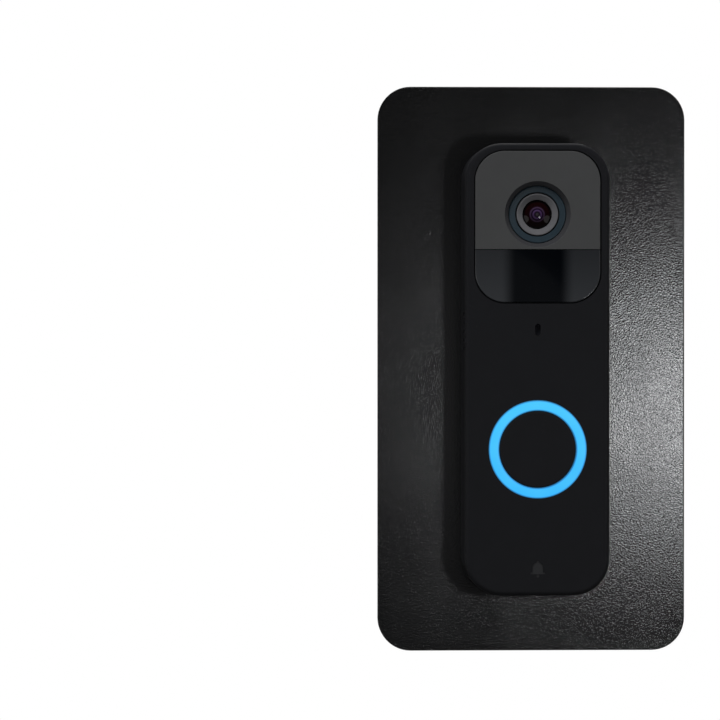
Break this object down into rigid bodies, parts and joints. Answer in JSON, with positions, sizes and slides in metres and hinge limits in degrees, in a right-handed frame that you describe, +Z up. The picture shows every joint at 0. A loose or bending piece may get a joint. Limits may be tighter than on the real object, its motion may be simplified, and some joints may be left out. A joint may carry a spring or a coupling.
{
  "type": "video doorbell",
  "caption": "Battery video doorbell with camera, lit push button and release mount, on a slotted wall plate.",
  "frame": {"origin": "middle of the wall plate's back face, which is the wall's surface", "axes": "+Z up, +Y into the wall, -Y towards the visitor, +X to the visitor's right"},
  "size_m": [0.09, 0.0438, 0.165],
  "materials": {
    "textured_plate": "haircell texture, satin sheen",
    "housing_plastic": "fine moulded satin",
    "panel_satin": "smooth satin",
    "panel_gloss": "polished, passes infrared",
    "mount_plastic": "moulded, fine spark texture",
    "zinc_screw": "zinc plated",
    "nickel": "nickel plated, satin",
    "brass": "turned or pressed brass",
    "gold_pad": "gold flash",
    "seal_rubber": "soft seal rubber",
    "silicone": "translucent grey silicone",
    "cell_wrap": "printed shrink wrap, plain bands",
    "circuit_board": "green solder mask",
    "chip_plastic": "moulded epoxy",
    "switch_plastic": "plain moulded",
    "reset_plastic": "plain moulded",
    "antenna_film": "polyimide film with copper tracks",
    "sensor_glass": "sensor cover glass",
    "lens_black": "matt black, fine ridges",
    "lens_glass": "coated optical glass",
    "bezel_grey": "blue-grey satin",
    "tape_foam": "foam adhesive",
    "sensor_can": "plain can",
    "led_resin": "clear resin",
    "reflector_white": "white moulded",
    "ring_light": "translucent, lit from behind",
    "mesh_cloth": "acoustic cloth",
    "ribbon_film": "flat flex cable"
  },
  "bodies": {
    "wall_mount": {"wall_plate": "textured_plate", "wall_screws": "zinc_screw", "mount_plate": "mount_plastic", "terminal_nuts": "brass", "terminal_screws": "nickel", "terminal_clamps": "nickel", "mount_contacts": "brass"},
    "tongue": {"release_tongue": "mount_plastic"},
    "doorbell": {"rear_housing": "housing_plastic", "power_pads": "gold_pad", "bay_seal": "seal_rubber", "housing_seal": "seal_rubber", "housing_screws": "zinc_screw", "front_housing": "housing_plastic", "battery_left": "cell_wrap", "battery_right": "cell_wrap", "link_contact": "nickel", "positive_contact": "nickel", "negative_contact": "nickel", "reset_switch": "switch_plastic", "main_board": "circuit_board", "board_screws": "zinc_screw", "shield_can": "nickel", "processor_chip": "chip_plastic", "wifi_antenna": "antenna_film", "camera_board": "circuit_board", "image_sensor": "sensor_glass", "lens_holder": "lens_black", "lens_barrel": "lens_black", "front_lens": "lens_glass", "middle_lens": "lens_glass", "rear_lens": "lens_glass", "ir_filter": "lens_glass", "lens_seal": "seal_rubber", "lens_bezel": "bezel_grey", "camera_panel": "panel_satin", "window_panel": "panel_gloss", "panel_tape": "tape_foam", "window_baffle": "lens_black", "sensor_board": "circuit_board", "motion_sensor": "sensor_can", "ir_leds": "led_resin", "light_sensor": "switch_plastic", "button_board": "circuit_board", "ring_leds": "led_resin", "ring_reflector": "reflector_white", "light_ring": "ring_light", "button_pad": "silicone", "button_switch": "chip_plastic", "microphone": "gold_pad", "mic_boot": "seal_rubber", "mic_mesh": "mesh_cloth", "button_ribbon": "ribbon_film", "speaker": "chip_plastic", "speaker_pad": "tape_foam", "speaker_mesh": "mesh_cloth"},
    "button": {"button_cap": "housing_plastic"},
    "plunger": {"switch_plunger": "reset_plastic"},
    "reset": {"reset_button": "reset_plastic"}
  },
  "joints": [
    {"name": "doorbell_tilt", "type": "hinge", "parent": "wall_mount", "child": "doorbell", "pos_m": [0, -0.0039, 0.0644], "axis": [-1, 0, 0], "range_deg": [0, 12], "deforming": ["release_tongue"]},
    {"name": "tongue_flex", "type": "hinge", "parent": "wall_mount", "child": "tongue", "pos_m": [0, -0.0044, -0.0612], "axis": [-1, 0, 0], "range_deg": [0, 12], "stiffness_Nm_per_rad": 0.05, "springref_deg": -5.73},
    {"name": "button_press", "type": "slide", "parent": "doorbell", "child": "button", "axis": [0, 1, 0], "range_m": [0, 0.00025], "stiffness_N_per_m": 1000, "springref_m": -0.001, "deforming": ["button_pad"]},
    {"name": "plunger_press", "type": "slide", "parent": "doorbell", "child": "plunger", "axis": [0, 1, 0], "range_m": [0, 0.00025]},
    {"name": "reset_press", "type": "slide", "parent": "doorbell", "child": "reset", "axis": [0, -1, 0], "range_m": [0, 0.00025], "stiffness_N_per_m": 800, "springref_m": -0.001}
  ],
  "couplings": [
    {"joint": "plunger_press", "follows": "button_press", "ratio": 1}
  ]
}
